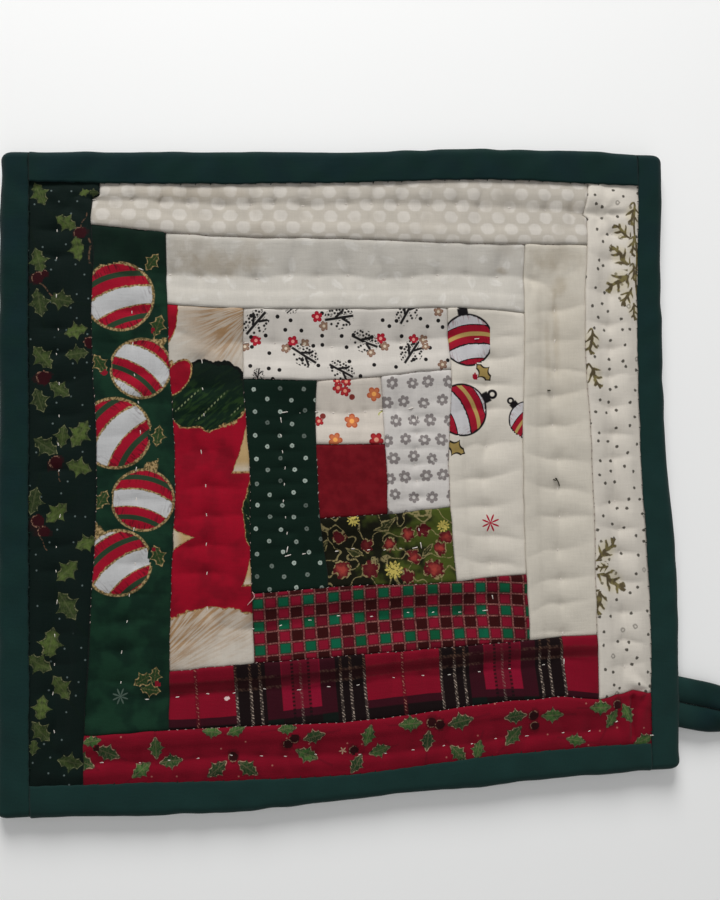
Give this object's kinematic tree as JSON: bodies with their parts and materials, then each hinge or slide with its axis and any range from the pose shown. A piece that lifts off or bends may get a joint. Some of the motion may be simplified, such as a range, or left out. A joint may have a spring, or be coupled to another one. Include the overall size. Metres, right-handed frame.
{
  "type": "quilted pot holder",
  "caption": "Square quilted pot holder: log cabin patchwork face, padded and hand-quilted in square rounds, with a bound edge and a hanging loop.",
  "frame": {"origin": "centre of the pad's back, where it rests on the surface", "axes": "+Z out of the patchwork face, +X towards the edge that carries the hanging loop, +Y towards the edge furthest from the loop's corner"},
  "size_m": [0.2568, 0.2047, 0.0077],
  "materials": {
    "patchwork_cotton": "printed cotton patchwork, matt",
    "binding_cotton": "plain dark green cotton, matt",
    "stitch_thread": "off-white quilting thread",
    "backing_cotton": "plain unbleached cotton, matt"
  },
  "bodies": {
    "root": {"quilted_pad": "patchwork_cotton", "binding_top": "binding_cotton", "binding_bottom": "binding_cotton", "binding_left": "binding_cotton", "binding_right": "binding_cotton", "hanging_loop": "binding_cotton"}
  },
  "joints": []
}
